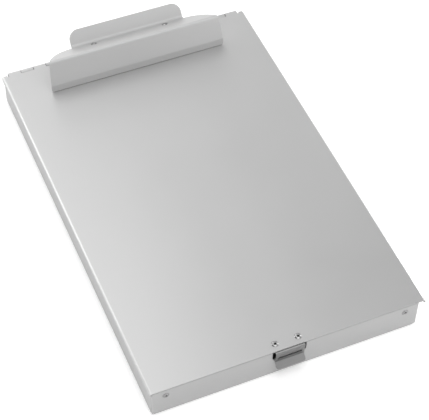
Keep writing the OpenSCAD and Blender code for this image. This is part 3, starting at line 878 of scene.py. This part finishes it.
def flat_square(name: str, half: float) -> bpy.types.Object:
    """A square face about the origin, facing +Z.

    Args:
        name: The object's name.
        half: Half of its side.

    Returns:
        The new object, linked to the scene.
    """
    mesh = bpy.data.meshes.new(name)
    corners = [(-half, -half, 0), (half, -half, 0), (half, half, 0), (-half, half, 0)]
    mesh.from_pydata(corners, [], [(0, 1, 2, 3)])
    square = bpy.data.objects.new(name, mesh)
    bpy.context.scene.collection.objects.link(square)
    return square


@dataclass
class Studio:
    """White floor, soft lamps and the photograph's camera."""

    camera_place: tuple[float, float, float] = (-0.3225, -0.7449, 0.9738)
    aim: tuple[float, float, float] = (0.0005, -0.0326, 0.030)
    roll_degrees: float = 1.79
    lens_mm: float = 123.56
    sensor_mm: float = 36.0
    nearest: float = 0.01
    farthest: float = 20.0
    floor_half: float = 8.0
    paper_colour: str = "#f2f2f2"
    glow_colour: str = "#868686"
    surround_lighting: float = 0.8
    surround_seen: float = 1.0
    softboxes: tuple[Softbox, ...] = (
        Softbox("rear_left_softbox", (-0.32, 0.98, 1.74), 1.1, 2.75),
        Softbox("overhead_softbox", (0.05, -0.70, 1.85), 1.6, 2.0),
        Softbox("front_right_softbox", (1.10, -1.90, 0.45), 0.8, 1.8),
        Softbox("left_edge_softbox", (-1.50, 1.35, 0.95), 0.6, 6.0),
        Softbox("low_rear_softbox", (0.0, 1.60, 0.45), 0.8, 1.9),
        Softbox("low_right_softbox", (0.62, 0.02, 0.16), 0.25, 7.0),
    )
    flags: tuple[Flag, ...] = (
        Flag("rear_right_flag", (0.98, 0.34, 1.38), 1.3),
        Flag("left_flag", (-1.10, -0.05, 0.84), 1.35),
    )

    def build(self) -> None:
        """Set up view, world, floor, lamps and camera."""
        bpy.context.scene.view_settings.view_transform = "Standard"
        self.light_world()
        self.lay_floor()
        for softbox in self.softboxes:
            softbox.hang()
        for flag in self.flags:
            flag.stand()
        self.stand_camera()

    def light_world(self) -> None:
        """A white surround where it is seen or mirrored, and a gentler one where it lights."""
        world = bpy.data.worlds.new("white_surround")
        bpy.context.scene.world = world
        world.use_nodes = True
        tree = world.node_tree
        tree.nodes.clear()
        strength = add_node(
            tree, "ShaderNodeMapRange",
            {"Value": self.seen_ray(tree),
             "To Min": self.surround_lighting, "To Max": self.surround_seen},
        ).outputs[0]
        back = add_node(
            tree, "ShaderNodeBackground", {"Color": (1.0, 1.0, 1.0, 1.0), "Strength": strength}
        ).outputs[0]
        add_node(tree, "ShaderNodeOutputWorld", {"Surface": back})

    def seen_ray(self, tree: bpy.types.NodeTree) -> bpy.types.NodeSocket:
        """A socket that is 1 for camera, glossy and transmission rays.

        Args:
            tree: The tree to add to.

        Returns:
            The output socket.
        """
        path = add_node(tree, "ShaderNodeLightPath").outputs
        mirrored = add_node(
            tree, "ShaderNodeMath",
            {0: path["Is Glossy Ray"], 1: path["Is Transmission Ray"]}, operation="MAXIMUM",
        ).outputs[0]
        return add_node(
            tree, "ShaderNodeMath", {0: path["Is Camera Ray"], 1: mirrored}, operation="MAXIMUM"
        ).outputs[0]

    def lay_floor(self) -> None:
        """A white floor that takes the soft shadow and is lifted to white where it is seen."""
        floor = flat_square("floor", self.floor_half)
        material = bare_material("white_paper")
        tree = material.node_tree
        paper = add_node(tree, "ShaderNodeBsdfDiffuse", {"Color": linear(self.paper_colour)}).outputs[0]
        glow = add_node(
            tree, "ShaderNodeEmission",
            {"Strength": self.seen_ray(tree), "Color": linear(self.glow_colour)},
        ).outputs[0]
        both = add_node(tree, "ShaderNodeAddShader", {0: paper, 1: glow}).outputs[0]
        add_node(tree, "ShaderNodeOutputMaterial", {"Surface": both})
        floor.data.materials.append(material)

    def stand_camera(self) -> None:
        """The photograph's camera, from its place, its aim and its roll."""
        data = bpy.data.cameras.new("camera")
        data.sensor_width = self.sensor_mm
        data.lens = self.lens_mm
        data.clip_start, data.clip_end = self.nearest, self.farthest
        camera = bpy.data.objects.new("camera", data)
        way = Vector(self.aim) - Vector(self.camera_place)
        turn = way.to_track_quat("-Z", "Y").to_matrix().to_4x4()
        roll = Matrix.Rotation(math.radians(self.roll_degrees), 4, "Z")
        camera.matrix_world = Matrix.Translation(self.camera_place) @ turn @ roll
        bpy.context.scene.collection.objects.link(camera)
        bpy.context.scene.camera = camera


def rivet_sets(workshop: Workshop) -> list[BlindRivets]:
    """All rivets of the box: which nodes, which body, how thick the held sheets are, and which way up.

    Args:
        workshop: Where the pieces are made.

    Returns:
        One set for each group of rivets.
    """
    wall, latch, base, ledge = (thickness * MM for thickness in (1.85, 1.7, 2.1, 2.4))
    forwards, backwards, upwards, square_to_ledge = 90, -90, 0, -26.8
    return [
        BlindRivets(workshop, "front_corner_rivets", "front_rivet_stems", "tray", wall, forwards),
        BlindRivets(workshop, "rear_corner_rivets", "rear_rivet_stems", "tray", wall, backwards),
        BlindRivets(workshop, "latch_rivets", "latch_rivet_stems", "lid", latch, upwards),
        BlindRivets(workshop, "base_rivets", "base_rivet_stems", "lid", base, upwards),
        BlindRivets(
            workshop, "clip_rivets", "clip_rivet_stems", "clip", ledge, square_to_ledge,
            break_towards=-70,
        ),
    ]


def springs(workshop: Workshop) -> list[TorsionSpring]:
    """The two clip springs, mirror images about the middle of the lid.

    Args:
        workshop: Where the pieces are made.

    Returns:
        Left and right spring.
    """
    rod_low, rod_high = (Vector(c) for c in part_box("pivot_rod"))
    centre = (rod_low + rod_high) / 2
    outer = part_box("clip_spring_right")[1][0] - centre.x - TorsionSpring.wire_radius
    return [
        TorsionSpring(workshop, node, side, tuple(centre), outer)
        for node, side in (("clip_spring_left", -1), ("clip_spring_right", 1))
    ]


def main() -> None:
    """Load the frame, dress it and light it."""
    logging.basicConfig(level=logging.INFO, format="%(name)s: %(message)s")
    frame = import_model()
    workshop = Workshop()
    SheetWork(workshop, frame["nodes"]).build()
    for rivets in rivet_sets(workshop):
        rivets.build()
    for spring in springs(workshop):
        spring.build()
    Studio().build()


if __name__ == "__main__":
    main()
